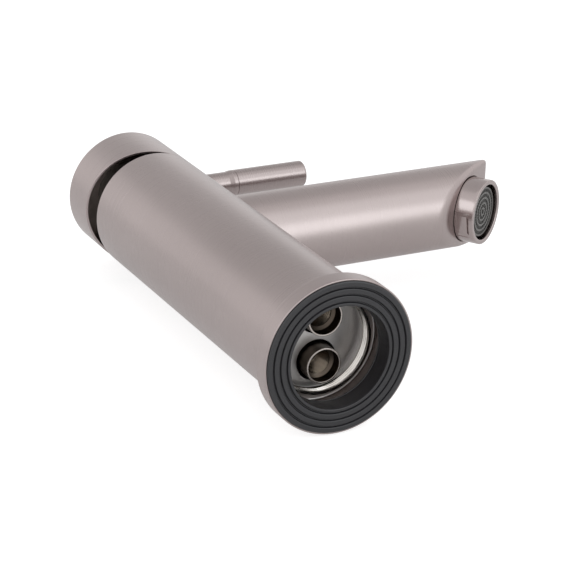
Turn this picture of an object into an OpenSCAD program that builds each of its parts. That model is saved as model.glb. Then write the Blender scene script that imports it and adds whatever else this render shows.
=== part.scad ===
// Basin mixer tap: a round column with a straight spout and a pin lever.
// The origin is the centre of the face that sits on the basin, +Z is up
// and the spout points along -Y.

/* [Body] */
// Outer diameter of the column
body_d = 45; // [43:0.5:52]
// Wall thickness of the column
body_wall = 1.7; // [1.2:0.1:2]
// Height of the column's top edge above the basin
body_h = 146.7; // [120:0.1:200]
// Diameter of the foot flange
flange_d = 53.2; // [50:0.2:62]
// Height of the foot flange
flange_h = 7.2; // [5:0.1:10]
// How far the flare above the flange spreads
flare_w = 2.2; // [0.8:0.1:2.6]
// Height of the flare above the flange
flare_h = 4.5; // [1:0.1:9]

/* [Gasket] */
// Width of the metal lip that hides the gasket's edge
gasket_lip = 0.6; // [0.4:0.1:1.2]
// Bore of the gasket
gasket_bore_d = 35.4; // [34.6:0.1:37]
// How far the gasket stands below the flange
gasket_proud = 0.6; // [0.3:0.1:1.2]
// Thickness of the gasket's flat ring
gasket_t = 2.8; // [2:0.1:4]
// Height of the gasket's collar inside the foot
gasket_collar_h = 7.4; // [5:0.1:9]
// Number of grooves in the gasket's face
gasket_grooves = 3; // [1:1:3]
// Width and depth of a gasket groove
gasket_groove_w = 0.7; // [0.4:0.1:1]

/* [Foot insert] */
// Height of the insert's lower end
insert_z = 11.7; // [9.5:0.1:16]
// Height of the threaded collar below the insert's flat face
insert_collar = 2.9; // [1:0.1:3.6]
// Nominal diameter of the shank thread
shank_thread_d = 34; // [32:0.5:35]
// Number of turns of the shank thread
shank_turns = 4; // [3:1:5]
// Depth of the clear space above the shank thread
insert_relief = 3; // [2:0.1:5]
// Thickness of the insert's floor
insert_floor_t = 4; // [2:0.1:8]
// Diameter of the holes that the inlet pipes pass
pipe_hole_d = 14.4; // [13.6:0.1:15.6]

/* [Inlet pipes] */
// Distance between the two inlet pipes
inlet_pitch = 16.7; // [16.2:0.1:18]
// Forward offset of the inlet pipes
inlet_forward = 1.3; // [0:0.1:2]
// Outer diameter of an inlet pipe
pipe_d = 12.5; // [12.2:0.1:13]
// Height of the inlet pipes' lower ends
pipe_end_z = 13.3; // [12:0.1:18]
// Diameter of the plain mouth of an inlet pipe
pipe_mouth_d = 11.2; // [10.6:0.1:11.4]
// Depth of the plain mouth
pipe_mouth_l = 4.5; // [1:0.1:8]
// Nominal diameter of the hose thread
hose_thread_d = 10; // [9:0.5:10]
// Number of turns of the hose thread
hose_turns = 9; // [5:1:12]
// Bore of an inlet pipe above its thread
pipe_bore_d = 8.4; // [7:0.1:8.6]

/* [Spout] */
// Outer diameter of the spout
spout_d = 31; // [30:0.2:34]
// Wall thickness of the spout
spout_wall = 1.2; // [1:0.1:1.4]
// Depth of the spout's axis below the column's top edge
spout_drop = 37.8; // [37.3:0.1:50]
// Reach of the spout's tip from the column's axis
spout_reach = 122.4; // [105:0.1:180]
// Height of the slanted face's upper edge above the spout's axis
spout_tip_up = 3.5; // [2.5:0.1:5]
// Angle of the slanted face above the horizontal
spout_cut_angle = 34.2; // [30:0.1:38]
// Length of the plug in the spout's root
root_plug_l = 34; // [30:0.5:40]
// Thickness of the plate that closes the slanted end
end_plug_t = 10; // [9.6:0.1:12]

/* [Aerator] */
// Distance from the slanted face's upper edge to the aerator's axis
aerator_offset = 15.2; // [15:0.1:16]
// Outer diameter of the aerator's collar
aerator_d = 24.5; // [24.2:0.1:24.8]
// How far the collar stands out of the slanted face
aerator_proud = 7.5; // [5:0.1:10]
// Diameter of the aerator's mouth
aerator_mouth_d = 21; // [20:0.1:21.4]
// Nominal diameter of the aerator's thread
aerator_thread_d = 24; // [23.4:0.1:24]
// Width across the two spanner flats
aerator_flats = 22; // [21.8:0.1:24]
// Turn of the spanner flats about the aerator's axis
aerator_turn = 13; // [-90:1:90]
// Diameter of the insert's outlet face
aerator_face_d = 18.8; // [17:0.1:19.4]
// Number of ring grooves in the outlet face
aerator_rings = 4; // [2:1:4]

/* [Cartridge] */
// Wall of the valve core around the ceramic disc cartridge
cup_wall = 3.2; // [3:0.1:3.4]
// Height of the lever's pivot below the column's top edge
pivot_drop = 5.7; // [5.2:0.1:6.2]
// Length of the lever's arm that moves the disc
pivot_arm = 12; // [11.6:0.1:12.2]
// Thickness of each ceramic disc
disc_t = 2.5; // [2.2:0.1:2.6]
// Width of the ledge that holds the turret down
turret_ledge = 3.4; // [3:0.1:3.6]
// Diameter of the pivot pin
pin_d = 4; // [3:0.1:4.4]
// Width of the square stem
stem_w = 8; // [7:0.1:8.2]

/* [Handle] */
// Height of the handle cap's top above the column's top edge
cap_rise = 26.4; // [25.5:0.1:32]
// Wall thickness of the cap
cap_wall = 1.7; // [1:0.1:1.8]
// Hairline gap between the cap and the column
cap_gap = 0.3; // [0.3:0.05:0.8]
// Slope of the cap's rear rim in degrees, which frees the lift
cap_slope = 18.3; // [17.2:0.1:20]
// Where the sloped rim starts, in front of the column's axis
cap_slope_start = 7.2; // [5:0.1:9]
// Height of the lever's axis above the column's top edge
lever_up = 16.8; // [16.6:0.1:20]
// Height of the set screw's axis above the column's top edge
screw_up = 10.3; // [10:0.1:10.6]
// Diameter of the lever
lever_d = 10; // [9.6:0.1:12]
// Diameter of the lever's thinner neck
lever_neck_d = 9.3; // [8:0.1:9.4]
// Reach of the lever's tip from the column's axis
lever_reach = 70.5; // [55:0.1:110]
// Where the lever's neck ends
lever_neck_end = 37.9; // [30:0.1:44]

/* [Hidden] */
$fn = 96;

// Clearances: a seat within one piece group, a running fit and a moving gap
seat_gap = 0.05;
run_gap = 0.05;
move_gap = 0.3;
// Overshoot that lets a cut pass a face
over = 1;

body_r = body_d / 2;
bore_r = body_r - body_wall;
flange_r = flange_d / 2;
edge_r = 0.3;
flange_edge = 0.6;
arc_steps = 12;

gasket_r = flange_r - gasket_lip;
gasket_bore_r = gasket_bore_d / 2;
gasket_pitch = (gasket_r - gasket_bore_r) / (gasket_grooves + 0.5);
groove_1 = gasket_bore_r + 0.57 * gasket_pitch;
collar_chamfer = 0.4;

// Basic thread shape: pitch 1 with grooves a little over half as deep
thread_pitch = 1;
thread_depth = 0.54 * thread_pitch;
thread_land = 0.24 * thread_pitch;
shank_crest_r = shank_thread_d / 2 - thread_depth;
shank_thread_l = shank_turns * thread_pitch + thread_land;
insert_lip = 1.2;
insert_relief_r = shank_thread_d / 2 + 0.5;
insert_floor_z = insert_z + shank_thread_l + insert_relief;

pipe_r = pipe_d / 2;
hose_crest_r = hose_thread_d / 2 - thread_depth;
hose_thread_l = hose_turns * thread_pitch + thread_land;

// Sizes of the valve core and of the hollow bolt that holds the spout
nipple_r = 7;
nipple_bore_d = 9;
core_r = bore_r - 0.1;
core_drop = 12;
spout_z = body_h - spout_drop;
core_z = spout_z - core_drop;
socket_l = 6;
channel_r = 2.4;
outlet_back = 9;
outlet_r = 3;
nipple_socket_l = 8.6;
nipple_in = core_r - nipple_socket_l;
nipple_head_r = 9.5;
nipple_head_l = 4;
nipple_key_r = 6;
nipple_seal_y = 3;

seal_w = 1.3;
pipe_seal_t = 0.55;

spout_r = spout_d / 2;
spout_bore_r = spout_r - spout_wall;

aerator_r = aerator_d / 2;
aerator_hole_r = aerator_r + 0.4;
aerator_hole_l = 1.2;
aerator_thread_r = aerator_thread_d / 2;
aerator_thread_l = 6.7;
aerator_seat_r = aerator_mouth_d / 2 + 0.3;
aerator_cut_z = aerator_proud * 0.7;
aerator_lip = 3.5;
washer_t = 1.2;
face_step = 1.3;

// Levels of the cartridge, stacked down from the lever's pivot
cartridge_r = core_r - cup_wall;
base_t = 2.5;
housing_wall = 1.9;
carrier_t = 2.5;
pivot_z = body_h - pivot_drop;
ball_z = pivot_z - pivot_arm;
ball_r = 2.8;
carrier_gap = 1.7;
carrier_z = ball_z - ball_r - carrier_gap;
moving_z = carrier_z - disc_t;
fixed_z = moving_z - disc_t;
cup_z = fixed_z - base_t;
cavity_r = cartridge_r - housing_wall;
turret_z = carrier_z + carrier_t + move_gap;
turret_flange_rise = 3;
turret_flange_top = ball_z + turret_flange_rise;
turret_r = cavity_r - turret_ledge;
turret_rise = 5;
turret_top = pivot_z + turret_rise;
shoulder_drop = 3;
shoulder_z = pivot_z - shoulder_drop;
shoulder_w = 2.5;
housing_neck_r = cartridge_r - shoulder_w;
housing_rise = 3.8;
housing_top = pivot_z + housing_rise;
lift_max = 20;
slide_travel = pivot_arm * sin(lift_max);
moving_disc_r = cavity_r - slide_travel - move_gap;
boss_x = 5.2;
boss_y = 5.4;
boss_rise = 2.2;
boss_top = ball_z + boss_rise;
slot_gap = 0.4;
slot_top = boss_top + slot_gap;
stem_slot_y = 6.6;
pin_r = pin_d / 2;

nut_inset = 1.5;
nut_r = bore_r - nut_inset;
core_inset = 2.7;
core_top = body_h - core_inset;
nut_proud = 0.4;
nut_top = core_top + nut_proud;
dome_t = 1.2;
dome_open_r = 14.6;

cap_r = body_r;
cap_bore_r = cap_r - cap_wall;
dome_r = min(bore_r, cap_bore_r) - 0.5;
cap_low = body_h + cap_gap;
cap_top = body_h + cap_rise;
cap_roof_t = 3;
roof_z = cap_top - cap_roof_t;
lever_z = body_h + lever_up;
lever_r = lever_d / 2;
lever_neck_r = lever_neck_d / 2;
lever_cone = 1.8;
lever_round = 0.8;
seam_offset = 3.4;
seam_y = lever_neck_end + seam_offset;
seam_t = 0.25;
stud_r = 3;
stud_in = 5.4;
hub_rise = 11;
hub_neck_l = 8;
hub_low = pivot_z + hub_rise;
hub_step = hub_low + hub_neck_l;
hub_low_r = 7.5;
hub_r = 12;
stem_rise = 19;
stem_top = pivot_z + stem_rise;
screw_z = body_h + screw_up;
screw_r = 2;
index_r = 2.6;
index_l = 4;

// Points of a circular arc in the profile plane, from angle a to angle b
function arc(cx, cy, rx, ry, a, b) =
    [for (i = [0 : arc_steps]) let (t = a + (b - a) * i / arc_steps)
        [cx + rx * cos(t), cy + ry * sin(t)]];

// Points of an inner thread's wall: crest lands with a groove between each pair
function thread_wall(crest, z0, turns) =
    [for (i = [0 : turns - 1], k = [0 : 2])
        let (z = z0 + i * thread_pitch)
        k == 0 ? [crest, z] :
        k == 1 ? [crest, z + thread_land] :
                 [crest + thread_depth, z + (thread_pitch + thread_land) / 2]];

// The same points in the opposite order
function reversed(points) = [for (i = [len(points) - 1 : -1 : 0]) points[i]];

module ring(outer, inner, height) {
    difference() {
        cylinder(r = outer, h = height);
        translate([0, 0, -over]) cylinder(r = inner, h = height + 2 * over);
    }
}

// An O-ring whose centre circle has radius r and whose cord has radius t
module o_ring(r, t) {
    rotate_extrude() translate([r, 0]) circle(r = t, $fn = 24);
}

// Turns +Z to the spout's direction
module along_spout(z) {
    translate([0, 0, z]) rotate([90, 0, 0]) children();
}

// Local +Z points out of the slanted face, with the origin on its upper edge
module at_slant() {
    translate([0, -spout_reach, spout_z + spout_tip_up])
        rotate([180 - spout_cut_angle, 0, 0]) children();
}

// Local +Z is the aerator's axis, with the origin on the slanted face
module at_aerator() {
    at_slant() translate([0, -aerator_offset, 0]) children();
}

// Everything in front of the slanted face
module slant_cutter() {
    at_slant() translate([-spout_d, -2 * spout_d, 0]) cube([2 * spout_d, 4 * spout_d, 2 * spout_d]);
}

module at_inlets() {
    for (side = [-1, 1]) translate([side * inlet_pitch / 2, -inlet_forward, 0]) children();
}

module body_tube() {
    color("#a8a09d") difference() {
        rotate_extrude() polygon(concat(
            [[bore_r, gasket_t], [gasket_r + seat_gap, gasket_t],
             [gasket_r + seat_gap, gasket_proud],
             [flange_r - edge_r, gasket_proud], [flange_r, gasket_proud + edge_r]],
            arc(flange_r - flange_edge, flange_h - flange_edge, flange_edge, flange_edge, 0, 90),
            arc(body_r + flare_w, flange_h + flare_h, flare_w, flare_h, 270, 180),
            [[body_r, body_h - edge_r], [body_r - edge_r, body_h], [bore_r, body_h]]));
        along_spout(spout_z) cylinder(r = nipple_r + move_gap, h = body_d);
    }
}

module base_gasket() {
    groove_points = [for (i = [gasket_grooves - 1 : -1 : 0], k = [0 : 3])
        let (r = groove_1 + i * gasket_pitch, w = gasket_groove_w)
        k == 0 ? [r + w / 2, 0] :
        k == 1 ? [r + w / 5, w] :
        k == 2 ? [r - w / 5, w] :
                 [r - w / 2, 0]];
    collar_r = bore_r - seat_gap;
    color("#4b4a4e") rotate_extrude() polygon(concat(
        [[gasket_bore_r, collar_chamfer], [gasket_bore_r, gasket_collar_h],
         [collar_r - collar_chamfer, gasket_collar_h],
         [collar_r, gasket_collar_h - collar_chamfer], [collar_r, gasket_t],
         [gasket_r, gasket_t], [gasket_r, collar_chamfer], [gasket_r - collar_chamfer, 0]],
        groove_points,
        [[gasket_bore_r + collar_chamfer, 0]]));
}

module foot_insert() {
    insert_top = insert_floor_z + insert_floor_t;
    color("#8f8d8f") difference() {
        rotate_extrude() polygon(concat(
            [[0, insert_floor_z], [insert_relief_r, insert_floor_z],
             [insert_relief_r, insert_z + shank_thread_l],
             [shank_crest_r, insert_z + shank_thread_l],
             [shank_crest_r, insert_z + shank_thread_l - thread_land]],
            reversed(thread_wall(shank_crest_r, insert_z, shank_turns)),
            [[shank_crest_r + insert_lip, insert_z],
             [shank_crest_r + insert_lip, insert_z + insert_collar],
             [bore_r - seat_gap, insert_z + insert_collar],
             [bore_r - seat_gap, insert_top], [0, insert_top]]));
        at_inlets() cylinder(d = pipe_hole_d, h = 2 * insert_top);
    }
}

module inlet_pipe() {
    thread_z = pipe_end_z + pipe_mouth_l;
    pipe_top = core_z + socket_l;
    seal_z = core_z + socket_l / 2;
    rotate_extrude() polygon(concat(
        [[pipe_r - edge_r, pipe_end_z],
         [pipe_r, pipe_end_z + edge_r], [pipe_r, seal_z - seal_w / 2],
         [pipe_r - 2 * pipe_seal_t, seal_z - seal_w / 2],
         [pipe_r - 2 * pipe_seal_t, seal_z + seal_w / 2],
         [pipe_r, seal_z + seal_w / 2], [pipe_r, pipe_top],
         [pipe_bore_d / 2, pipe_top],
         [pipe_bore_d / 2, thread_z + hose_thread_l],
         [hose_crest_r, thread_z + hose_thread_l],
         [hose_crest_r, thread_z + hose_thread_l - thread_land]],
        reversed(thread_wall(hose_crest_r, thread_z, hose_turns)),
        [[pipe_mouth_d / 2, thread_z], [pipe_mouth_d / 2, pipe_end_z]]));
}

module inlet_pipe_hot() {
    color("#8a7f6e") translate([-inlet_pitch / 2, -inlet_forward, 0]) inlet_pipe();
}

module inlet_pipe_cold() {
    color("#8a7f6e") translate([inlet_pitch / 2, -inlet_forward, 0]) inlet_pipe();
}

module pipe_seals() {
    color("#222222") at_inlets() translate([0, 0, core_z + socket_l / 2])
        o_ring(pipe_r - pipe_seal_t, pipe_seal_t);
}

module valve_core() {
    color("#b59a57") difference() {
        translate([0, 0, core_z]) cylinder(r = core_r, h = core_top - core_z);
        translate([0, 0, cup_z]) cylinder(r = cartridge_r + 0.1, h = body_h);
        translate([0, 0, shoulder_z]) cylinder(r = nut_r + seat_gap, h = body_h);
        at_inlets() {
            translate([0, 0, core_z - over]) cylinder(r = pipe_r + seat_gap, h = socket_l + over);
            translate([0, 0, core_z]) cylinder(r = channel_r, h = body_h);
        }
        translate([0, outlet_back, spout_z]) cylinder(r = outlet_r, h = body_h);
        translate([0, outlet_back + outlet_r, 0]) along_spout(spout_z)
            cylinder(r = outlet_r, h = body_d);
        translate([0, -nipple_in, 0]) along_spout(spout_z)
            cylinder(r = nipple_r + seat_gap, h = body_d);
    }
}

module spout_nipple() {
    shank_l = root_plug_l - nipple_in;
    color("#b59a57") translate([0, -nipple_in, 0]) along_spout(spout_z) difference() {
        union() {
            cylinder(r = nipple_r, h = shank_l + nipple_head_l);
            translate([0, 0, shank_l]) cylinder(r = nipple_head_r, h = nipple_head_l);
        }
        translate([0, 0, -over]) cylinder(d = nipple_bore_d, h = 2 * body_d);
        translate([0, 0, shank_l]) cylinder(r = nipple_key_r, h = body_d, $fn = 6);
        translate([0, 0, nipple_seal_y - seal_w / 2])
            ring(nipple_r + over, nipple_r - 2 * pipe_seal_t, seal_w);
    }
}

module nipple_seal() {
    color("#222222") translate([0, -nipple_in - nipple_seal_y, 0]) along_spout(spout_z)
        o_ring(nipple_r - pipe_seal_t, pipe_seal_t);
}

module spout_root_plug() {
    color("#b59a57") difference() {
        along_spout(spout_z) cylinder(r = spout_bore_r, h = root_plug_l);
        cylinder(r = body_r, h = 2 * body_h);
        along_spout(spout_z) cylinder(r = nipple_r + seat_gap, h = body_d + root_plug_l);
    }
}

module spout_tube() {
    color("#b4acaa") difference() {
        along_spout(spout_z) cylinder(r = spout_r, h = spout_reach);
        along_spout(spout_z) cylinder(r = spout_bore_r, h = spout_reach + over);
        cylinder(r = body_r, h = 2 * body_h);
        slant_cutter();
    }
}

module spout_end_plate() {
    color("#b4acaa") difference() {
        intersection() {
            along_spout(spout_z) cylinder(r = spout_bore_r, h = spout_reach);
            at_slant() translate([-spout_d, -2 * spout_d, -end_plug_t])
                cube([2 * spout_d, 4 * spout_d, end_plug_t]);
        }
        at_aerator() {
            translate([0, 0, -aerator_hole_l]) cylinder(r = aerator_hole_r, h = body_d);
            translate([0, 0, -aerator_thread_l - washer_t - seat_gap])
                cylinder(r = aerator_thread_r + seat_gap, h = body_d);
            translate([0, 0, -2 * end_plug_t])
                cylinder(r = aerator_seat_r - over, h = body_d);
        }
    }
}

module aerator_housing() {
    inner_r = aerator_seat_r;
    color("#b0a8a5") at_aerator() difference() {
        rotate_extrude() polygon(concat(
            [[inner_r, -aerator_thread_l], [aerator_thread_r, -aerator_thread_l],
             [aerator_thread_r, -aerator_hole_l + seat_gap],
             [aerator_r, -aerator_hole_l + seat_gap]],
            arc(aerator_r - edge_r, aerator_proud - edge_r, edge_r, edge_r, 0, 90),
            arc(aerator_mouth_d / 2 + edge_r, aerator_proud - edge_r, edge_r, edge_r, 90, 180),
            [[aerator_mouth_d / 2, aerator_proud - aerator_lip],
             [inner_r, aerator_proud - aerator_lip]]));
        rotate([0, 0, -90 + aerator_turn]) for (turn = [0, 180]) rotate([0, 0, turn])
            translate([aerator_flats / 2, -aerator_d, 0])
                cube([aerator_d, 2 * aerator_d, aerator_cut_z]);
    }
}

module aerator_washer() {
    color("#222222") at_aerator() translate([0, 0, -aerator_thread_l - washer_t])
        ring(aerator_thread_r - 0.6, aerator_seat_r - 2, washer_t);
}

module aerator_insert() {
    face_r = aerator_face_d / 2;
    face_z = aerator_proud - face_step;
    ring_gap = face_r / (aerator_rings + 0.7);
    groove_h = 0.8;
    color("#7d7a78") at_aerator() difference() {
        union() {
            translate([0, 0, -aerator_thread_l])
                cylinder(r = aerator_seat_r - seat_gap,
                         h = aerator_thread_l + aerator_proud - aerator_lip - seat_gap);
            translate([0, 0, -aerator_thread_l]) cylinder(r = face_r, h = aerator_thread_l + face_z);
        }
        for (i = [1 : aerator_rings]) translate([0, 0, face_z - groove_h])
            ring(i * ring_gap + ring_gap / 4, i * ring_gap - ring_gap / 4, 2 * groove_h);
    }
}

module aerator_screen() {
    screen_r = aerator_seat_r - 2.2;
    cup_r = screen_r - 1.4;
    cup_h = 2.6;
    rim_t = washer_t;
    screen_t = 0.8;
    color("#9a9a98") at_aerator() translate([0, 0, -aerator_thread_l - cup_h]) difference() {
        union() {
            cylinder(r = cup_r, h = cup_h);
            translate([0, 0, cup_h - rim_t]) cylinder(r = screen_r, h = rim_t);
        }
        translate([0, 0, screen_t]) cylinder(r = cup_r - over, h = body_d);
    }
}

module cartridge_base() {
    color("#d9d6cc") difference() {
        translate([0, 0, cup_z]) cylinder(r = cartridge_r, h = base_t);
        at_inlets() {
            translate([0, 0, cup_z - over]) cylinder(r = channel_r, h = base_t + 2 * over);
            translate([0, 0, cup_z - over]) cylinder(r = channel_r + seal_w, h = over + seal_w);
        }
        translate([0, outlet_back, cup_z - over]) {
            cylinder(r = outlet_r, h = base_t + 2 * over);
            cylinder(r = outlet_r + seal_w, h = over + seal_w);
        }
    }
}

module cartridge_seals() {
    color("#222222") {
        at_inlets() translate([0, 0, cup_z])
            ring(channel_r + seal_w - seat_gap, channel_r, seal_w - seat_gap);
        translate([0, outlet_back, cup_z])
            ring(outlet_r + seal_w - seat_gap, outlet_r, seal_w - seat_gap);
    }
}

module fixed_disc() {
    color("#efece4") difference() {
        translate([0, 0, fixed_z]) cylinder(r = cavity_r - seat_gap, h = disc_t);
        at_inlets() translate([0, 0, fixed_z - over]) cylinder(r = channel_r, h = disc_t + 2 * over);
        translate([0, outlet_back, fixed_z - over]) cylinder(r = outlet_r, h = disc_t + 2 * over);
    }
}

module moving_disc() {
    pocket_start = channel_r + 1.2;
    pocket_rim = 1.5;
    color("#f4f2ec") difference() {
        translate([0, 0, moving_z]) cylinder(r = moving_disc_r, h = disc_t);
        intersection() {
            translate([0, 0, moving_z - over]) cylinder(r = moving_disc_r - pocket_rim, h = over + disc_t / 2);
            translate([-cavity_r, pocket_start, moving_z - over])
                cube([2 * cavity_r, cavity_r, disc_t + over]);
        }
    }
}

module disc_carrier() {
    pocket = ball_r + move_gap;
    color("#c9c6bd") difference() {
        union() {
            translate([0, 0, carrier_z]) cylinder(r = moving_disc_r, h = carrier_t);
            translate([-boss_x, -boss_y, carrier_z])
                cube([2 * boss_x, 2 * boss_y, boss_top - carrier_z]);
        }
        translate([-pocket, -pocket, ball_z - pocket]) cube([2 * pocket, 2 * pocket, body_d]);
    }
}

module cartridge_housing() {
    color("#dcd9cf") difference() {
        union() {
            translate([0, 0, fixed_z]) cylinder(r = cartridge_r, h = shoulder_z - fixed_z);
            translate([0, 0, fixed_z]) cylinder(r = housing_neck_r, h = housing_top - fixed_z);
        }
        translate([0, 0, fixed_z - over])
            cylinder(r = cavity_r, h = turret_flange_top + move_gap - fixed_z + over);
        translate([0, 0, fixed_z]) cylinder(r = turret_r + move_gap, h = body_h);
    }
}

module turret() {
    boss_front = boss_y + slide_travel + move_gap;
    color("#b8b5ac") difference() {
        union() {
            translate([0, 0, turret_z])
                cylinder(r = cavity_r - move_gap, h = turret_flange_top - turret_z);
            translate([0, 0, turret_z]) cylinder(r = turret_r, h = turret_top - turret_z);
        }
        translate([-boss_x - move_gap, -boss_front, turret_z - over])
            cube([2 * (boss_x + move_gap), boss_front + boss_y + move_gap, slot_top - turret_z + over]);
        translate([-stem_w / 2 - move_gap, -stem_slot_y, turret_z - over])
            cube([stem_w + 2 * move_gap, 2 * stem_slot_y, body_h]);
        translate([-body_r, 0, pivot_z]) rotate([0, 90, 0]) cylinder(r = pin_r, h = body_d);
    }
}

module pivot_pin() {
    pin_l = 2 * (turret_r - move_gap);
    color("#c8c8ca") translate([-pin_l / 2, 0, pivot_z]) rotate([0, 90, 0])
        cylinder(r = pin_r, h = pin_l);
}

module lever_stem() {
    eye_r = stem_w * 0.65;
    color("#bdbdc0") difference() {
        union() {
            translate([-stem_w / 2, 0, pivot_z]) rotate([0, 90, 0]) cylinder(r = eye_r, h = stem_w);
            translate([-stem_w / 2, -stem_w / 2, pivot_z]) cube([stem_w, stem_w, stem_top - pivot_z]);
            translate([0, 0, ball_z]) cylinder(r = ball_r - 0.4, h = pivot_arm);
            translate([0, 0, ball_z]) sphere(r = ball_r);
        }
        translate([-stem_w, 0, pivot_z]) rotate([0, 90, 0])
            cylinder(r = pin_r + run_gap, h = 2 * stem_w);
    }
}

module retaining_nut() {
    notch_w = 3;
    notch_l = 1.5;
    color("#b59a57") difference() {
        translate([0, 0, shoulder_z]) ring(nut_r, housing_neck_r + seat_gap, nut_top - shoulder_z);
        for (i = [0 : 5]) rotate([0, 0, 60 * i])
            translate([housing_neck_r - over, -notch_w / 2, nut_top - notch_l])
                cube([body_r, notch_w, body_r]);
    }
}

module dome_cover() {
    skirt_gap = 0.15;
    skirt_h = 2;
    skirt_r = bore_r - skirt_gap;
    color("#1b1a1a") difference() {
        union() {
            translate([0, 0, pivot_z]) sphere(r = dome_r);
            translate([0, 0, core_top]) cylinder(r = skirt_r, h = skirt_h);
        }
        translate([0, 0, pivot_z]) sphere(r = dome_r - dome_t);
        translate([0, 0, core_top - 2 * body_r]) cylinder(r = 2 * body_r, h = 2 * body_r);
        translate([0, 0, core_top - over]) cylinder(r = nut_r + skirt_gap, h = 2 * over);
        translate([0, 0, pivot_z]) cylinder(r = dome_open_r, h = body_d);
    }
}

// Everything below the cap's rim: level in front and sloped behind
module rim_cutter() {
    far = 3 * body_r;
    translate([-far, -far, cap_low - far]) cube([2 * far, 2 * far, far]);
    translate([0, -cap_slope_start, cap_low]) rotate([cap_slope, 0, 0])
        translate([-far, 0, -far]) cube([2 * far, far, far]);
}

module handle_cap() {
    color("#a8a09d") difference() {
        rotate_extrude() polygon(concat(
            [[cap_bore_r, body_h - over], [cap_r, body_h - over]],
            arc(cap_r - edge_r, cap_top - edge_r, edge_r, edge_r, 0, 90),
            [[0, cap_top], [0, roof_z], [cap_bore_r, roof_z]]));
        rim_cutter();
        along_spout(lever_z) cylinder(r = stud_r + seat_gap, h = body_d);
        along_spout(screw_z) cylinder(r = index_r + seat_gap, h = body_d);
    }
}

module handle_hub() {
    socket_w = stem_w + 2 * seat_gap;
    color("#9b9994") difference() {
        union() {
            translate([0, 0, hub_low]) cylinder(r = hub_low_r, h = roof_z - hub_low);
            translate([0, 0, hub_step]) cylinder(r = hub_r, h = roof_z - hub_step);
        }
        translate([-socket_w / 2, -socket_w / 2, hub_low - over])
            cube([socket_w, socket_w, stem_top - hub_low + over]);
        translate([0, -stud_in, 0]) along_spout(lever_z) cylinder(r = stud_r, h = body_d);
        along_spout(screw_z) cylinder(r = screw_r, h = body_d);
    }
}

module set_screw() {
    tip_y = stem_w / 2;
    screw_l = hub_low_r - tip_y - edge_r;
    key_r = 1.15;
    key_l = 1.6;
    color("#3a3a3c") translate([0, -tip_y, 0]) along_spout(screw_z) difference() {
        cylinder(r = screw_r, h = screw_l);
        translate([0, 0, screw_l - key_l]) cylinder(r = key_r, h = 2 * key_l, $fn = 6);
    }
}

module index_plug() {
    color("#b23a34") intersection() {
        translate([0, index_l - cap_r, 0]) along_spout(screw_z) cylinder(r = index_r, h = body_d);
        cylinder(r = cap_r, h = 2 * body_h);
    }
}

module lever_rod() {
    cone_end = lever_neck_end + lever_cone;
    seam_end = seam_y + 2 * seam_t;
    color("#b4acaa") union() {
        difference() {
            along_spout(lever_z) rotate_extrude() polygon(concat(
                [[0, 0], [lever_neck_r, 0], [lever_neck_r, lever_neck_end], [lever_r, cone_end],
                 [lever_r, seam_y], [lever_r - seam_t, seam_y + seam_t], [lever_r, seam_end]],
                arc(lever_r - lever_round, lever_reach - lever_round, lever_round, lever_round, 0, 90),
                [[0, lever_reach]]));
            cylinder(r = cap_r, h = 2 * body_h);
        }
        translate([0, -stud_in, 0]) along_spout(lever_z)
            cylinder(r = stud_r, h = cap_r - stud_in + over);
    }
}

body_tube();
base_gasket();
foot_insert();
inlet_pipe_hot();
inlet_pipe_cold();
pipe_seals();
valve_core();
spout_nipple();
nipple_seal();
spout_root_plug();
spout_tube();
spout_end_plate();
aerator_housing();
aerator_washer();
aerator_insert();
aerator_screen();
cartridge_base();
cartridge_seals();
fixed_disc();
moving_disc();
disc_carrier();
cartridge_housing();
turret();
pivot_pin();
lever_stem();
retaining_nut();
dome_cover();
handle_cap();
handle_hub();
set_screw();
index_plug();
lever_rod();
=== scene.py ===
"""Looks, light and camera for a basin mixer tap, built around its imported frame. Lengths are in metres."""
import math

import bmesh
import bpy
from mathutils import Matrix, Vector

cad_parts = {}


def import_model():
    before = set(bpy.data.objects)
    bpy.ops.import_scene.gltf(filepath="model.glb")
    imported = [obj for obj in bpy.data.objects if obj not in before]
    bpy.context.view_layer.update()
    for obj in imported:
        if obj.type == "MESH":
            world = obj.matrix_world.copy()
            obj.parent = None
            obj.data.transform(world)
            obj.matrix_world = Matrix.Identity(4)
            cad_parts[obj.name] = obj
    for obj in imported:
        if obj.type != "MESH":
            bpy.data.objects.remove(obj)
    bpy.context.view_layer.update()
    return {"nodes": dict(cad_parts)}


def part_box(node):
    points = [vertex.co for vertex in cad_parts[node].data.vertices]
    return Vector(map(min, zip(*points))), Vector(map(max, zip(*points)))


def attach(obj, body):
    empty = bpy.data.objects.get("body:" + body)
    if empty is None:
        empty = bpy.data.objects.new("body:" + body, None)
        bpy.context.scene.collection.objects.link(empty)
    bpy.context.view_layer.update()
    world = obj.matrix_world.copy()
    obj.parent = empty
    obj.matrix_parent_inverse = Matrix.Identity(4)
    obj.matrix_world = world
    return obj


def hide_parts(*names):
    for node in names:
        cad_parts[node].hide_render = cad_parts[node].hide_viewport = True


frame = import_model()

MM = 0.001
STEPS = 256
SHARP = math.radians(32)


def box_middle(node):
    low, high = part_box(node)
    return (low + high) / 2


# Sizes of the CAD pieces that the modelled ones stand for. FIT is the gap between two pieces that meet.
body_low, body_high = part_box("body_tube")
cap_low, cap_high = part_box("handle_cap")
spout_low, spout_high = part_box("spout_tube")
gasket_low, gasket_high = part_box("base_gasket")
insert_low, insert_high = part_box("foot_insert")
lever_low, lever_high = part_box("lever_rod")

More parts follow.
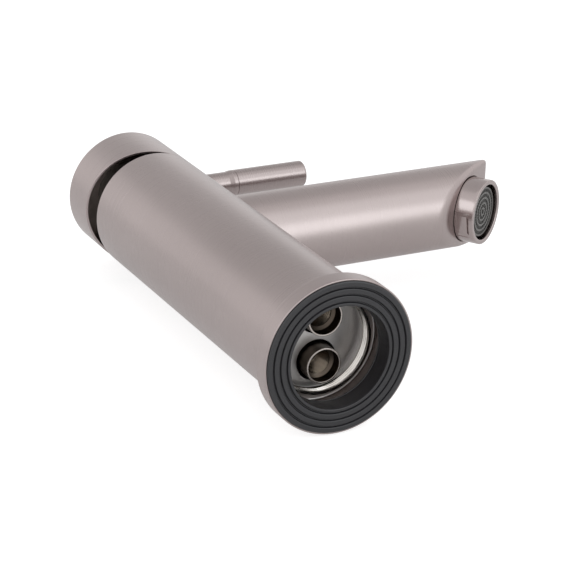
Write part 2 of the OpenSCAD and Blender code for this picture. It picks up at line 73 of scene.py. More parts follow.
BODY_R = cap_high.x
BODY_TOP = body_high.z
BORE_R = BODY_R - 1.7 * MM
FLANGE_R = body_high.x
FLANGE_TOP = 7.2 * MM
SPOUT_R = spout_high.x
SPOUT_Z = (spout_low.z + spout_high.z) / 2
SPOUT_REACH = -spout_low.y
SLANT_RISE = 3.5 * MM
SLANT_ANGLE = math.radians(34.2)
AERATOR_OFFSET = 15.2 * MM
LEVER_R = lever_high.x
LEVER_Z = (lever_low.z + lever_high.z) / 2
LEVER_REACH = -lever_low.y
FIT = 0.02 * MM


# Meshes

def rounded(corners, steps=5):
    """Points of an outline through (r, z, fillet) corners, each filleted with an arc."""
    points = []
    for i, corner in enumerate(corners):
        here = Vector(corner[:2])
        fillet = corner[2] if len(corner) > 2 else 0
        if not fillet or i in (0, len(corners) - 1):
            points.append(here)
            continue
        back = (Vector(corners[i - 1][:2]) - here).normalized()
        on = (Vector(corners[i + 1][:2]) - here).normalized()
        half = back.angle(on) / 2
        reach = fillet / math.tan(half)
        centre = here + (back + on).normalized() * (fillet / math.sin(half))
        start = here + back * reach - centre
        turn = start.angle_signed(here + on * reach - centre)
        for k in range(steps + 1):
            angle = -turn * k / steps
            points.append(centre + Matrix.Rotation(angle, 2) @ start)
    return points


def new_object(name, mesh, place=None):
    made = bpy.data.objects.new(name, mesh)
    bpy.context.scene.collection.objects.link(made)
    if place:
        made.matrix_world = place
    return made


def mesh_from(name, verts, faces, place=None):
    mesh = bpy.data.meshes.new(name)
    mesh.from_pydata(verts, [], faces)
    mesh.validate()
    return new_object(name, mesh, place)


def lathe(name, outline, place=None, steps=STEPS, closed=True, wave=None):
    """Revolves (r, z) points round local Z. wave(r, z, angle) may move a point's radius."""
    verts, faces = [], []
    count = len(outline)
    for s in range(steps):
        angle = 2 * math.pi * s / steps
        for r, z in outline:
            radius = wave(r, z, angle) if wave else r
            verts.append((radius * math.cos(angle), radius * math.sin(angle), z))
    rows = count if closed else count - 1
    for s in range(steps):
        a, b = s * count, (s + 1) % steps * count
        for k in range(rows):
            n = (k + 1) % count
            faces.append((a + k, b + k, b + n, a + n))
    made = mesh_from(name, verts, faces, place)
    weld(made)
    return made


def edit(obj, change):
    mesh = bmesh.new()
    mesh.from_mesh(obj.data)
    change(mesh)
    mesh.to_mesh(obj.data)
    mesh.free()


def weld(obj, distance=1e-7):
    def change(mesh):
        bmesh.ops.remove_doubles(mesh, verts=mesh.verts, dist=distance)
        bmesh.ops.dissolve_degenerate(mesh, dist=distance, edges=mesh.edges)
        bmesh.ops.recalc_face_normals(mesh, faces=mesh.faces)
    edit(obj, change)


def applied(obj):
    """Bakes the object's modifiers into its mesh."""
    graph = bpy.context.evaluated_depsgraph_get()
    mesh = bpy.data.meshes.new_from_object(obj.evaluated_get(graph))
    obj.modifiers.clear()
    obj.data = mesh


def cut(obj, *cutters, operation="DIFFERENCE"):
    for cutter in cutters:
        step = obj.modifiers.new("cut", "BOOLEAN")
        step.operation = operation
        step.solver = "EXACT"
        step.object = cutter
        bpy.context.view_layer.update()
        applied(obj)
        bpy.data.objects.remove(cutter)


def bevel(obj, width, angle=25, segments=3):
    step = obj.modifiers.new("bevel", "BEVEL")
    step.width = width
    step.segments = segments
    step.limit_method = "ANGLE"
    step.angle_limit = math.radians(angle)
    step.use_clamp_overlap = True
    bpy.context.view_layer.update()
    applied(obj)


def smooth(obj, sharp=SHARP):
    def change(mesh):
        for face in mesh.faces:
            face.smooth = True
        for edge in mesh.edges:
            edge.smooth = len(edge.link_faces) == 2 and edge.calc_face_angle(0) < sharp
    edit(obj, change)
    step = obj.modifiers.new("weighted", "WEIGHTED_NORMAL")
    step.keep_sharp = True


def block(name, low, high, place=None):
    """A cuboid between two corners."""
    verts = [(x, y, z) for x in (low[0], high[0]) for y in (low[1], high[1]) for z in (low[2], high[2])]
    faces = [(0, 1, 3, 2), (4, 6, 7, 5), (0, 4, 5, 1), (2, 3, 7, 6), (0, 2, 6, 4), (1, 5, 7, 3)]
    made = mesh_from(name, verts, faces, place)
    weld(made)
    return made


def rod(name, radius, low, high, place=None, steps=96):
    return lathe(name, [(0, low), (radius, low), (radius, high), (0, high)], place, steps, closed=False)


def axis_place(origin, direction, across=(1, 0, 0)):
    """A placement whose local Z is direction and whose local X is across."""
    z = Vector(direction).normalized()
    x = Vector(across).normalized()
    y = z.cross(x)
    turn = Matrix((x, y, z)).transposed().to_4x4()
    return Matrix.Translation(origin) @ turn


ALONG_SPOUT = (0, -1, 0)
SPOUT_PLACE = axis_place((0, 0, SPOUT_Z), ALONG_SPOUT)
LEVER_PLACE = axis_place((0, 0, LEVER_Z), ALONG_SPOUT)
SLANT_NORMAL = Vector((0, -math.sin(SLANT_ANGLE), -math.cos(SLANT_ANGLE)))
SLANT_DOWN = Vector((0, math.cos(SLANT_ANGLE), -math.sin(SLANT_ANGLE)))
SLANT_EDGE = Vector((0, -SPOUT_REACH, SPOUT_Z + SLANT_RISE))
AERATOR_PLACE = axis_place(SLANT_EDGE + SLANT_DOWN * AERATOR_OFFSET, SLANT_NORMAL)


# Materials

class Nodes:
    """A material with a Principled shader, built node by node."""

    def __init__(self, name):
        self.material = bpy.data.materials.new(name)
        self.material.use_nodes = True
        self.tree = self.material.node_tree
        self.shader = self.tree.nodes["Principled BSDF"]

    def add(self, kind, **values):
        made = self.tree.nodes.new("ShaderNode" + kind)
        for key, value in values.items():
            if hasattr(made, key):
                setattr(made, key, value)
            else:
                made.inputs[key].default_value = value
        return made

    def link(self, source, target):
        self.tree.links.new(source, target)

    def set(self, **values):
        for key, value in values.items():
            self.shader.inputs[key.replace("_", " ").title().replace("Ior", "IOR")].default_value = value

    def place(self, scale):
        """Object coordinates, scaled along each axis."""
        where = self.add("TexCoord")
        mapped = self.add("Mapping")
        mapped.inputs["Scale"].default_value = scale
        self.link(where.outputs["Object"], mapped.inputs["Vector"])
        return mapped.outputs["Vector"]

    def noise(self, scale, detail=3.0, size=1.0):
        made = self.add("TexNoise")
        made.inputs["Scale"].default_value = size
        made.inputs["Detail"].default_value = detail
        self.link(self.place(scale), made.inputs["Vector"])
        return made.outputs["Fac"]

    def spread(self, source, low, high, from_low=0.3, from_high=0.7):
        made = self.add("MapRange")
        made.inputs["From Min"].default_value = from_low
        made.inputs["From Max"].default_value = from_high
        made.inputs["To Min"].default_value = low
        made.inputs["To Max"].default_value = high
        self.link(source, made.inputs["Value"])
        return made.outputs["Result"]

    def mix(self, factor, first, second):
        made = self.add("Mix", data_type="RGBA")
        made.inputs[6].default_value = (*first, 1)
        made.inputs[7].default_value = (*second, 1)
        self.link(factor, made.inputs[0])
        return made.outputs[2]

    def bump(self, height, distance, strength=1.0):
        made = self.add("Bump")
        made.inputs["Distance"].default_value = distance
        made.inputs["Strength"].default_value = strength
        self.link(height, made.inputs["Height"])
        self.link(made.outputs["Normal"], self.shader.inputs["Normal"])


def shade(colour, factor):
    return tuple(c * factor for c in colour)


def brushed(name, colour, roughness, anisotropy=0.5, grain=1.0, spread=0.06):
    """Satin metal brushed round local Z."""
    m = Nodes(name)
    m.set(metallic=1.0, anisotropic=anisotropy)
    lines = m.noise((6, 6, 5200), detail=2)
    cloud = m.noise((45, 45, 18), detail=3)
    tone = m.mix(m.spread(cloud, 0, 1), shade(colour, 1 - spread / 2), shade(colour, 1 + spread / 2))
    m.link(tone, m.shader.inputs["Base Color"])
    m.link(m.spread(lines, roughness - 0.04, roughness + 0.04), m.shader.inputs["Roughness"])
    m.bump(lines, 0.55e-6 * grain)
    tangent = m.add("Tangent", direction_type="RADIAL", axis="Z")
    m.link(tangent.outputs["Tangent"], m.shader.inputs["Tangent"])
    return m.material


def metal(name, colour, roughness, spread=0.15, bump=1.5e-6):
    """Machined or plated metal with a faint uneven finish."""
    m = Nodes(name)
    m.set(metallic=1.0)
    cloud = m.noise((260, 260, 260), detail=4)
    tone = m.mix(m.spread(cloud, 0, 1), shade(colour, 1 - spread), shade(colour, 1 + spread / 2))
    m.link(tone, m.shader.inputs["Base Color"])
    m.link(m.spread(cloud, roughness - 0.05, roughness + 0.06), m.shader.inputs["Roughness"])
    m.bump(m.noise((2200, 2200, 2200), detail=2), bump)
    return m.material


def moulded(name, colour, roughness, specular=0.5, spread=0.12, bump=4e-6, grain=1800):
    """Moulded rubber or plastic with a fine matt grain."""
    m = Nodes(name)
    m.set(metallic=0.0)
    m.shader.inputs["Specular IOR Level"].default_value = specular
    cloud = m.noise((120, 120, 120), detail=3)
    tone = m.mix(m.spread(cloud, 0, 1), shade(colour, 1 - spread), shade(colour, 1 + spread))
    m.link(tone, m.shader.inputs["Base Color"])
    m.link(m.spread(cloud, roughness - 0.04, roughness + 0.05), m.shader.inputs["Roughness"])
    m.bump(m.noise((grain, grain, grain), detail=3), bump)
    return m.material


NICKEL = (0.430, 0.368, 0.360)
satin = brushed("satin_nickel", NICKEL, 0.30, spread=0.08)
satin_fine = brushed("satin_nickel_fine", shade(NICKEL, 0.92), 0.25, anisotropy=0.5, spread=0.03)
satin_collar = brushed("satin_nickel_collar", NICKEL, 0.20, anisotropy=0.4, spread=0.03)
# Lighter thread metal: partly the bare metal of a cut thread, partly a painted highlight on the thread band.
cut_thread_and_sheen = metal("cut_thread_and_sheen", (0.72, 0.68, 0.64), 0.18, spread=0.04)
insert_metal = metal("plated_insert", (0.55, 0.53, 0.52), 0.36, spread=0.04)
pipe_metal = metal("dull_brass", (0.11, 0.088, 0.07), 0.36, spread=0.08)
pipe_thread = metal("pipe_thread", (0.20, 0.165, 0.13), 0.20, spread=0.08)
# Lighter pipe end face: partly bare turned brass, partly a painted glint along the rim.
pipe_rim_and_glint = metal("turned_rim_and_glint", (0.50, 0.45, 0.42), 0.25, spread=0.05)
inner_wall = metal("inner_wall", (0.42, 0.37, 0.355), 0.4, spread=0.08)
cap_inside = metal("cap_inside", (0.45, 0.39, 0.36), 0.4)
rubber = moulded("gasket_rubber", (0.0100, 0.0092, 0.0120), 0.38, specular=0.72)
seal_rubber = moulded("seal_rubber", (0.02, 0.02, 0.02), 0.4)
dome_plastic = moulded("dome_plastic", (0.045, 0.038, 0.035), 0.5, specular=0.4)
aerator_plastic = moulded("aerator_plastic", (0.105, 0.10, 0.095), 0.35, specular=0.6)
index_plastic = moulded("index_plastic", (0.42, 0.03, 0.025), 0.25)
core_brass = metal("core_brass", (0.52, 0.38, 0.16), 0.3)
ceramic = moulded("ceramic", (0.80, 0.78, 0.73), 0.22, spread=0.02, bump=1e-6)
cartridge_plastic = moulded("cartridge_plastic", (0.62, 0.60, 0.55), 0.42, spread=0.03)
stainless = metal("stainless", (0.50, 0.50, 0.51), 0.25)
cast_zinc = metal("cast_zinc", (0.36, 0.35, 0.34), 0.45)
screw_steel = metal("screw_steel", (0.06, 0.06, 0.065), 0.35)


def dress(piece, material, body, slot, *nodes):
    """Gives a modelled piece its material and its body, and hides the CAD nodes that it stands for."""
    if material:
        piece.data.materials.clear()
        piece.data.materials.append(material)
    smooth(piece)
    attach(piece, body)
    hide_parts(*nodes)
    return piece


def paint(piece, materials, choose):
    """Gives each face the material that choose(centre, normal) picks by number."""
    piece.data.materials.clear()
    for material in materials:
        piece.data.materials.append(material)
    for face in piece.data.polygons:
        face.material_index = choose(face.center, face.normal)


# Column, gasket and foot

def column():
    flange_base = body_low.z
    flare = 2.2 * MM
    flare_top = FLANGE_TOP + 4.5 * MM
    lip_r = gasket_high.x + 0.05 * MM
    outline = rounded([
        (BORE_R, gasket_low.z + 2.8 * MM),
        (lip_r, gasket_low.z + 2.8 * MM),
        (lip_r, flange_base, 0.12 * MM),
        (FLANGE_R, flange_base, 0.25 * MM),
        (FLANGE_R, FLANGE_TOP, 0.6 * MM),
        (BODY_R + flare, FLANGE_TOP, 0.3 * MM)])
    for k in range(1, 17):
        angle = math.radians(90 * k / 16)
        outline.append(Vector((BODY_R + flare * (1 - math.sin(angle)),
                               flare_top - (flare_top - FLANGE_TOP) * math.cos(angle))))
    outline += rounded([
        (BODY_R, flare_top + 1 * MM),
        (BODY_R, BODY_TOP, 0.15 * MM),
        (BORE_R, BODY_TOP, 0.15 * MM),
        (BORE_R, BODY_TOP - 3 * MM)])
    piece = lathe("column", outline)

    def choose(centre, normal):
        inside = centre.xy.length < BODY_R - 0.5 * MM and centre.xy.dot(normal.xy) < 0
        return 1 if inside and centre.z < BODY_TOP - 1 * MM else 0

    paint(piece, [satin, inner_wall], choose)
    return dress(piece, None, "tap_body", "satin_nickel", "body_tube")


def gasket():
    low, high = gasket_low.z, gasket_high.z
    bore_r = 17.7 * MM
    outer_r = gasket_high.x
    collar_r = BORE_R - 0.05 * MM
    ridges = 3
    pitch = (outer_r - bore_r) / (ridges + 0.5)
    groove = 0.42 * MM
    bead = 0.3 * MM
    corners = [
        (bore_r - bead / 2, high, 0.15 * MM),
        (bore_r - bead / 2, high - 1.2 * bead, 0.1 * MM),
        (bore_r, high - 1.6 * bead, 0.1 * MM),
        (bore_r, low, 0.35 * MM)]
    for i in range(ridges):
        middle = bore_r + (i + 0.57) * pitch
        corners += [
            (middle - groove, low, 0.3 * MM),
            (middle - 0.12 * MM, low + 0.7 * MM, 0.08 * MM),
            (middle + 0.12 * MM, low + 0.7 * MM, 0.08 * MM),
            (middle + groove, low, 0.3 * MM)]
    corners += [
        (outer_r, low, 0.5 * MM),
        (outer_r, low + 2.75 * MM, 0.05 * MM),
        (collar_r, low + 2.75 * MM, 0.05 * MM),
        (collar_r, high, 0.4 * MM)]
    start = ((bore_r + collar_r) / 2, high)
    return dress(lathe("gasket", rounded([start, *corners, start])[:-1]),
                 rubber, "tap_body", "rubber_black", "base_gasket")


THREAD_PITCH = 1 * MM
THREAD_DEPTH = 0.54 * MM


def threaded(low, turns, crest_r, run_out=1.0):
    """wave() for a helical inner thread between two levels, and the levels to sample it at."""
    high = low + turns * THREAD_PITCH

    def wave(r, z, angle):
        if r > crest_r + 0.01 * MM or not low <= z <= high:
            return r
        phase = (z - low) / THREAD_PITCH - angle / (2 * math.pi)
        depth = max(0.0, 1 - abs(2 * (phase % 1) - 1) * 1.15)
        ends = min(1.0, (z - low) / (run_out * THREAD_PITCH), (high - z) / (run_out * THREAD_PITCH))
        return r + THREAD_DEPTH * depth * max(0.0, ends)

    count = round(turns * 16)
    levels = [(crest_r, low + (high - low) * k / count) for k in range(count + 1)]
    return wave, levels


def foot_insert():
    low = insert_low.z
    crest_r = 16.46 * MM
    outer_r = insert_high.x
    face_z = low + 2.9 * MM
    collar_r = crest_r + 1.2 * MM
    floor_z = low + 7.24 * MM
    wave, levels = threaded(low + 0.15 * MM, 4.1, crest_r)
    relief_r = 17.5 * MM
    outline = [Vector((0, floor_z)), *rounded([
        (relief_r - 3 * MM, floor_z),
        (relief_r, floor_z),
        (relief_r, levels[-1][1] + 0.4 * MM, 0.1 * MM),
        (crest_r, levels[-1][1] + 0.1 * MM)])]
    outline += [Vector(p) for p in reversed(levels)]
    outline += rounded([
        (crest_r, low),
        (collar_r, low, 0.25 * MM),
        (collar_r, face_z + 0.15 * MM, 0.2 * MM),
        (outer_r - 0.75 * MM, face_z + 0.15 * MM, 0.05 * MM),
        (outer_r - 0.5 * MM, face_z, 0.12 * MM),
        (outer_r, face_z + 0.4 * MM, 0.05 * MM),
        (outer_r, insert_high.z, 0.2 * MM),
        (0, insert_high.z)])
    piece = lathe("foot_insert", outline, closed=False, wave=wave)
    for node in ("inlet_pipe_hot", "inlet_pipe_cold"):
        middle = box_middle(node)
        cut(piece, rod("hole", 7.2 * MM, 0, 2 * insert_high.z,
                       Matrix.Translation((middle.x, middle.y, 0))))
    thread_top = levels[-1][1] + 0.2 * MM
    root_r = crest_r + 1.2 * THREAD_DEPTH

    # The thread's faces get the lighter thread metal, which is partly a painted highlight.
    def choose(centre, normal):
        return 1 if centre.z < thread_top and centre.xy.length < root_r else 0

    paint(piece, [insert_metal, cut_thread_and_sheen], choose)
    return dress(piece, None, "tap_body", "nickel_insert", "foot_insert")


def inlet_pipe(node):
    low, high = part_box(node)
    middle = (low + high) / 2
    radius = (high.x - low.x) / 2
    mouth_r = 5.6 * MM
    mouth_l = 4.5 * MM
    wave, levels = threaded(low.z + mouth_l, 9.2, 4.46 * MM, run_out=0.6)
    bore_r = 4.2 * MM
    end = high.z
    outline = rounded([
        (bore_r, end),
        (bore_r, levels[-1][1] + 0.3 * MM)])
    outline += [Vector(p) for p in reversed(levels)]
    outline += rounded([
        (levels[0][0], low.z + mouth_l - 0.02 * MM),
        (mouth_r, low.z + mouth_l - 0.7 * MM, 0.1 * MM),
        (mouth_r, low.z, 0.15 * MM),
        (radius, low.z, 0.2 * MM),
        (radius, end),
        (bore_r, end)])
    piece = lathe(node + "_turned", outline, Matrix.Translation((middle.x, middle.y, 0)),
                  steps=128, closed=False, wave=wave)

    # The pipe's end face gets the lighter rim metal, which is partly a painted glint.
    def choose(centre, normal):
        if centre.z < low.z + 0.35 * MM:
            return 1
        if centre.z < low.z + mouth_l - 0.1 * MM or centre.z > levels[-1][1] or centre.xy.length > 5.2 * MM:
            return 0
        return 2

    paint(piece, [pipe_metal, pipe_rim_and_glint, pipe_thread], choose)
    return dress(piece, None, "tap_body", "pipe_brass", node)


# Spout and aerator

def spout_end(rise):
    """How far the spout reaches at a height above its axis: level above the slant's edge, sloped below."""
    blend = 0.8 * MM
    slanted = SPOUT_REACH + (rise - SLANT_RISE) / math.tan(SLANT_ANGLE)
    near = max(0.0, 1 - abs(slanted - SPOUT_REACH) / blend)
    return min(SPOUT_REACH, slanted) - near * near * blend / 4


def spout_outline(angle):
    """Points of the spout's lengthwise section at an angle round its axis, with a rounded rim."""
    side = min(1.0, max(0.0, (0.35 - math.sin(angle)) / 0.35))
    under = max(0.0, -math.sin(angle))
    edge = (1.5 + 1.3 * side * side * (3 - 2 * side) + 1.2 * under) * MM
    start = BODY_R * 0.5
    rim = spout_end(SPOUT_R * math.sin(angle))
    slope = (rim - spout_end((SPOUT_R - edge) * math.sin(angle))) / edge
    inner = SPOUT_R - edge / math.hypot(1, slope)
    first = Vector((SPOUT_R, rim - edge))
    corner = Vector((SPOUT_R, rim))
    last = Vector((inner, spout_end(inner * math.sin(angle))))
    points = [Vector((0, start)), Vector((SPOUT_R, start))]
    for k in range(9):
        t = k / 8
        points.append(first * (1 - t) ** 2 + corner * 2 * t * (1 - t) + last * t * t)
    for k in range(23, -1, -1):
        r = inner * k / 24
        points.append(Vector((r, spout_end(r * math.sin(angle)))))
    return points


def spout():
    hole_r = 12.65 * MM
    bore_r = 14.3 * MM
    verts, faces = [], []
    for s in range(STEPS):
        angle = 2 * math.pi * s / STEPS
        outline = spout_outline(angle)
        verts += [(r * math.cos(angle), r * math.sin(angle), z) for r, z in outline]
    count = len(outline)
    for s in range(STEPS):
        a, b = s * count, (s + 1) % STEPS * count
        faces += [(a + k, b + k, b + k + 1, a + k + 1) for k in range(count - 1)]
    tube = mesh_from("spout", verts, faces, SPOUT_PLACE)
    weld(tube)
    hollow = rod("hollow", bore_r, BODY_R * 0.4, SPOUT_REACH - 40 * MM, SPOUT_PLACE, steps=STEPS)
    thread = rod("thread", 11.4 * MM, -11 * MM, 5 * MM, AERATOR_PLACE, steps=128)
    seat = rod("seat", hole_r, -1.2 * MM, 5 * MM, AERATOR_PLACE, steps=128)
    root = rod("root", BODY_R + FIT, 0, 2 * SPOUT_Z, steps=STEPS)
    cut(tube, root, hollow, thread, seat)
    return dress(tube, satin, "tap_body", "satin_nickel", "spout_tube", "spout_end_plate")


def aerator_collar():
    radius = 12.25 * MM
    mouth_r = 10.5 * MM
    proud = 7.5 * MM
    root = -1.2 * MM
    flat_start, flat_end, flat_ramp = 0.2 * MM, 4.6 * MM, 1.3 * MM
    flat_r = 10.9 * MM
    flat_half = math.radians(25)
    flat_turn = math.radians(-77)
    walls = [flat_start, flat_start + 0.1 * MM, flat_end, flat_end + flat_ramp]
    outline = [Vector((10.8 * MM, -6.7 * MM)), Vector((radius, root))]
    outline += [Vector((radius, z)) for z in walls]
    outline += rounded([
        (radius, flat_end + flat_ramp + 0.1 * MM),
        (radius, proud, 0.35 * MM),
        (mouth_r, proud, 0.35 * MM),
        (mouth_r, proud - 3.5 * MM),
        (10.8 * MM, proud - 3.5 * MM)])

    def wave(r, z, angle):
        off = (angle - flat_turn + math.pi / 2) % math.pi - math.pi / 2
        if abs(off) > flat_half or r < radius - 0.01 * MM or not flat_start < z < flat_end + flat_ramp:
            return r
        return min(r, flat_r / math.cos(off))

    piece = lathe("aerator_collar", outline, AERATOR_PLACE, steps=384, wave=wave)
    return dress(piece, satin_collar, "tap_body", "satin_nickel", "aerator_housing")


def aerator_insert():
    """Straightener face: raised rings with spokes across the grooves between them."""
    face_r = 9.4 * MM
    face_z = 6.2 * MM
    depth = 3 * MM
    rib = 0.42 * MM
    radii = [face_r - 0.3 * MM - k * 1.95 * MM for k in range(5)]
    back = -6 * MM
    base_r = face_r - 0.8 * MM
    parts = [lathe("base", rounded([
        (0, face_z - depth), (base_r, face_z - depth), (base_r, back), (0, back)]), closed=False, steps=128)]
    for k, r in enumerate(radii):
        inner = max(r - rib, 0.1 * MM)
        outer = r + (rib if k else 0.3 * MM)
        low = back if k == 0 else face_z - depth - 0.1 * MM
        parts.append(lathe("ring", rounded([
            (inner, low), (inner, face_z, 0.12 * MM), (outer, face_z, 0.12 * MM), (outer, low)]), steps=128))
    for k in range(len(radii) - 1):
        outer, inner = radii[k] - rib, radii[k + 1] + rib
        spokes = round(2 * math.pi * (outer + inner) / 2 / (1.15 * MM))
        for s in range(spokes):
            place = Matrix.Rotation(2 * math.pi * (s + 0.5 * (k % 2)) / spokes, 4, "Z")
            half = 0.17 * MM
            parts.append(block("spoke", (inner - 0.1 * MM, -half, face_z - depth - 0.1 * MM),
                               (outer + 0.1 * MM, half, face_z - 0.22 * MM), place))
    for part in parts:
        part.data.transform(part.matrix_world)
        part.matrix_world = Matrix.Identity(4)
    piece = join("aerator_face", parts)
    piece.matrix_world = AERATOR_PLACE
    return dress(piece, aerator_plastic, "tap_body", "aerator_plastic", "aerator_insert")


def join(name, parts):
    """One object from several."""
    mesh = bmesh.new()
    for part in parts:
        mesh.from_mesh(part.data)
    data = bpy.data.meshes.new(name)
    mesh.to_mesh(data)
    mesh.free()
    for part in parts:
        bpy.data.objects.remove(part)
    return new_object(name, data)


# Handle

def cap():
    top = cap_high.z
    low = cap_low.z
    wall = 0.8 * MM
    roof = 3 * MM
    skirt = 5 * MM
    inner_r = BODY_R - wall
    far = 3 * BODY_R
    slope_start = 7.2 * MM
    slope = math.radians(18.3)
    piece = lathe("cap", rounded([
        (0, top), (BODY_R, top, 0.35 * MM), (BODY_R, low - skirt), (inner_r, low - skirt),
        (inner_r, top - roof, 0.5 * MM), (0, top - roof)]), closed=False)
    level = block("level", (-far, -far, low - far), (far, far, low))
    tilt = Matrix.Translation((0, -slope_start, low)) @ Matrix.Rotation(slope, 4, "X")
    rear = block("rear", (-far, 0, -far), (far, far, 0), tilt)
    cut(piece, level, rear)
    bevel(piece, 0.15 * MM, angle=38)
    screw_z = box_middle("index_plug").z
    cut(piece, rod("hole", 2.65 * MM, BODY_R * 0.6, 2 * BODY_R, axis_place((0, 0, screw_z), ALONG_SPOUT)))

    def choose(centre, normal):
        outer = centre.xy.length > BODY_R - 0.3 * MM or centre.z > top - 1 * MM
        rim = normal.z < -0.5 and centre.z < top - roof - 1 * MM
        return 0 if outer or rim else 1

    paint(piece, [satin, cap_inside], choose)
    return dress(piece, None, "handle", "satin_nickel", "handle_cap")


def lever():
    neck_r = LEVER_R - 0.35 * MM
    neck_end = 37.9 * MM
    cone_end = neck_end + 1.8 * MM
    seam = neck_end + 3.4 * MM
    groove = 0.22 * MM
    outline = rounded([
        (0, BODY_R - 1.5 * MM),
        (neck_r, BODY_R - 1.5 * MM),
        (neck_r, neck_end, 0.8 * MM),
        (LEVER_R, cone_end, 0.8 * MM),
        (LEVER_R, seam - groove / 2, 0.06 * MM),
        (LEVER_R - groove, seam, 0),
        (LEVER_R, seam + groove / 2, 0.06 * MM),
        (LEVER_R, LEVER_REACH, 0.8 * MM),
        (0, LEVER_REACH)])
    piece = lathe("lever", outline, LEVER_PLACE, steps=160, closed=False)
    cut(piece, rod("root", BODY_R + FIT, 0, 2 * LEVER_Z, steps=STEPS))
    return dress(piece, satin_fine, "handle", "satin_nickel", "lever_rod")


def index_plug():
    low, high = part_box("index_plug")
    radius = high.x
    z = (low.z + high.z) / 2
    front = -low.y
    outline = rounded([
        (0, front - 3 * MM), (radius, front - 3 * MM),
        (radius, front - 0.45 * MM, 0.3 * MM), (0, front - 0.2 * MM)])
    piece = lathe("index_dot", outline, axis_place((0, 0, z), ALONG_SPOUT), steps=96, closed=False)
    return dress(piece, index_plastic, "handle", "index_red", "index_plug")


CAD_LOOKS = {
    "dome_cover": dome_plastic,
    "pipe_seals": seal_rubber, "nipple_seal": seal_rubber, "aerator_washer": seal_rubber,
    "cartridge_seals": seal_rubber,
    "valve_core": core_brass, "spout_nipple": core_brass, "spout_root_plug": core_brass,
    "retaining_nut": core_brass,
    "aerator_screen": stainless, "pivot_pin": stainless, "lever_stem": stainless,
    "cartridge_base": cartridge_plastic, "disc_carrier": cartridge_plastic,
    "cartridge_housing": cartridge_plastic, "turret": cartridge_plastic,
    "fixed_disc": ceramic, "moving_disc": ceramic,
    "handle_hub": cast_zinc, "set_screw": screw_steel,
}


def dress_cad_nodes():
    for node, material in CAD_LOOKS.items():
        data = frame["nodes"][node].data
        data.materials.clear()
        data.materials.append(material)


# Camera, light and floor

CAMERA_AT = Vector((-0.2952, 0.3275, -0.5867))
LOOK_AT = Vector((0.0135, -0.0274, 0.0921))
IMAGE_UP = Vector((-0.927, -0.147, 0.345))
LENS = 145.9
LAMP_WHITE = (0.9, 0.98, 1.0)
LAMP_DISTANCE = 0.9
WORLD_LEVEL = 0.7
# The floor's own light, as other surfaces and as the camera see it
FLOOR_GLOW = 1.15
FLOOR_SEEN = 2.45
FLOOR_SHARE = 0.3
# Each lamp's direction from the object, its size and its power
LAMPS = {
    "right_softbox": ((-0.338, -0.43, -0.837), (0.35, 0.5), 0.80),
    "right_fill": ((-0.766, -0.43, -0.478), (0.35, 0.6), 0.34),
    "left_softbox": ((-0.52, 0.84, -0.12), (0.5, 0.5), 0.70),
}


def camera():
    data = bpy.data.cameras.new("camera")
    data.lens = LENS
    data.sensor_width = 36
    data.clip_start, data.clip_end = 0.01, 20
    made = bpy.data.objects.new("camera", data)
    bpy.context.scene.collection.objects.link(made)
    back = (CAMERA_AT - LOOK_AT).normalized()
    right = IMAGE_UP.cross(back).normalized()
    up = back.cross(right)
    made.matrix_world = Matrix.Translation(CAMERA_AT) @ Matrix((right, up, back)).transposed().to_4x4()
    bpy.context.scene.camera = made


def softbox(name, toward, size, power):
    """An area lamp that looks at the object from the direction toward."""
    data = bpy.data.lights.new(name, "AREA")
    data.shape = "RECTANGLE"
    data.size, data.size_y = size
    data.energy = power
    data.color = LAMP_WHITE
    made = bpy.data.objects.new(name, data)
    bpy.context.scene.collection.objects.link(made)
    direction = Vector(toward).normalized()
    made.location = LOOK_AT + direction * LAMP_DISTANCE
    made.rotation_mode = "QUATERNION"
    made.rotation_quaternion = direction.to_track_quat("Z", "Y")


def path_switch(tree, low, high, *rays):
    """A value that is high for the named kinds of ray and low for the others."""
    path = tree.nodes.new("ShaderNodeLightPath")
    seen = path.outputs[rays[0]]
    for ray in rays[1:]:
        either = tree.nodes.new("ShaderNodeMath")
        either.operation = "MAXIMUM"
        tree.links.new(seen, either.inputs[0])
        tree.links.new(path.outputs[ray], either.inputs[1])
        seen = either.outputs[0]
    switch = tree.nodes.new("ShaderNodeMapRange")
    switch.inputs["To Min"].default_value = low
    switch.inputs["To Max"].default_value = high
    tree.links.new(seen, switch.inputs["Value"])
    return switch.outputs["Result"]


def world(level, background=1.0):
    made = bpy.data.worlds.new("studio")
    bpy.context.scene.world = made
    made.use_nodes = True
    tree = made.node_tree
    shine = tree.nodes["Background"]
    strength = path_switch(tree, level, background, "Is Camera Ray", "Is Glossy Ray", "Is Transmission Ray")
    tree.links.new(strength, shine.inputs["Strength"])
    shine.inputs["Color"].default_value = (1, 1, 1, 1)


def plate(name, middle, normal, size):
    """A rectangle that faces normal."""
    place = Matrix.Translation(middle) @ Vector(normal).to_track_quat("Z", "Y").to_matrix().to_4x4()
    half_w, half_h = size[0] / 2, size[1] / 2
    verts = [(-half_w, -half_h, 0), (half_w, -half_h, 0), (half_w, half_h, 0), (-half_w, half_h, 0)]
    made = mesh_from(name, verts, [(0, 1, 2, 3)], place)
    return made


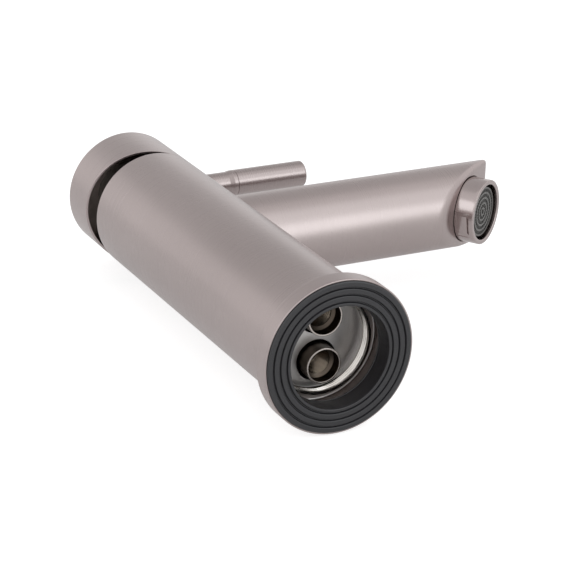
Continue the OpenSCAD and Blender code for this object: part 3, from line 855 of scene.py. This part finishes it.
def flag(name, toward, distance, size, level):
    """A grey studio card that only reflections show."""
    direction = Vector(toward).normalized()
    made = plate(name, LOOK_AT + direction * distance, -direction, size)
    material = bpy.data.materials.new(name)
    material.use_nodes = True
    tree = material.node_tree
    tree.nodes.clear()
    clear = tree.nodes.new("ShaderNodeBsdfTransparent")
    shine = tree.nodes.new("ShaderNodeEmission")
    shine.inputs["Strength"].default_value = level
    mixed = tree.nodes.new("ShaderNodeMixShader")
    out = tree.nodes.new("ShaderNodeOutputMaterial")
    tree.links.new(path_switch(tree, 0, 1, "Is Glossy Ray"), mixed.inputs[0])
    tree.links.new(clear.outputs[0], mixed.inputs[1])
    tree.links.new(shine.outputs[0], mixed.inputs[2])
    tree.links.new(mixed.outputs[0], out.inputs["Surface"])
    made.data.materials.append(material)


def floor():
    """The pale surface that the tap lies on, which glows a little and is clear from behind."""
    made = plate("floor", (FLANGE_R + 0.2 * MM, LOOK_AT.y, LOOK_AT.z), (-1, 0, 0), (3, 3))
    material = bpy.data.materials.new("pale_floor")
    material.use_nodes = True
    tree = material.node_tree
    tree.nodes.clear()
    matt = tree.nodes.new("ShaderNodeBsdfDiffuse")
    matt.inputs["Color"].default_value = (0.85, 0.85, 0.85, 1)
    shine = tree.nodes.new("ShaderNodeEmission")
    lit = tree.nodes.new("ShaderNodeMixShader")
    lit.inputs[0].default_value = FLOOR_SHARE
    clear = tree.nodes.new("ShaderNodeBsdfTransparent")
    side = tree.nodes.new("ShaderNodeNewGeometry")
    mixed = tree.nodes.new("ShaderNodeMixShader")
    out = tree.nodes.new("ShaderNodeOutputMaterial")
    tree.links.new(path_switch(tree, FLOOR_GLOW, FLOOR_SEEN, "Is Camera Ray"), shine.inputs["Strength"])
    tree.links.new(matt.outputs[0], lit.inputs[1])
    tree.links.new(shine.outputs[0], lit.inputs[2])
    tree.links.new(side.outputs["Backfacing"], mixed.inputs[0])
    tree.links.new(lit.outputs[0], mixed.inputs[1])
    tree.links.new(clear.outputs[0], mixed.inputs[2])
    tree.links.new(mixed.outputs[0], out.inputs["Surface"])
    made.data.materials.append(material)


def build():
    camera()
    world(WORLD_LEVEL)
    for name, (toward, size, power) in LAMPS.items():
        softbox(name, toward, size, power)
    flag("rear_flag", (-0.776, -0.10, 0.668), 1.0, (1.4, 0.95), 0.72)
    floor()
    column()
    gasket()
    foot_insert()
    inlet_pipe("inlet_pipe_hot")
    inlet_pipe("inlet_pipe_cold")
    spout()
    aerator_collar()
    aerator_insert()
    cap()
    lever()
    index_plug()
    dress_cad_nodes()
    bpy.context.scene.view_settings.view_transform = "Standard"


build()
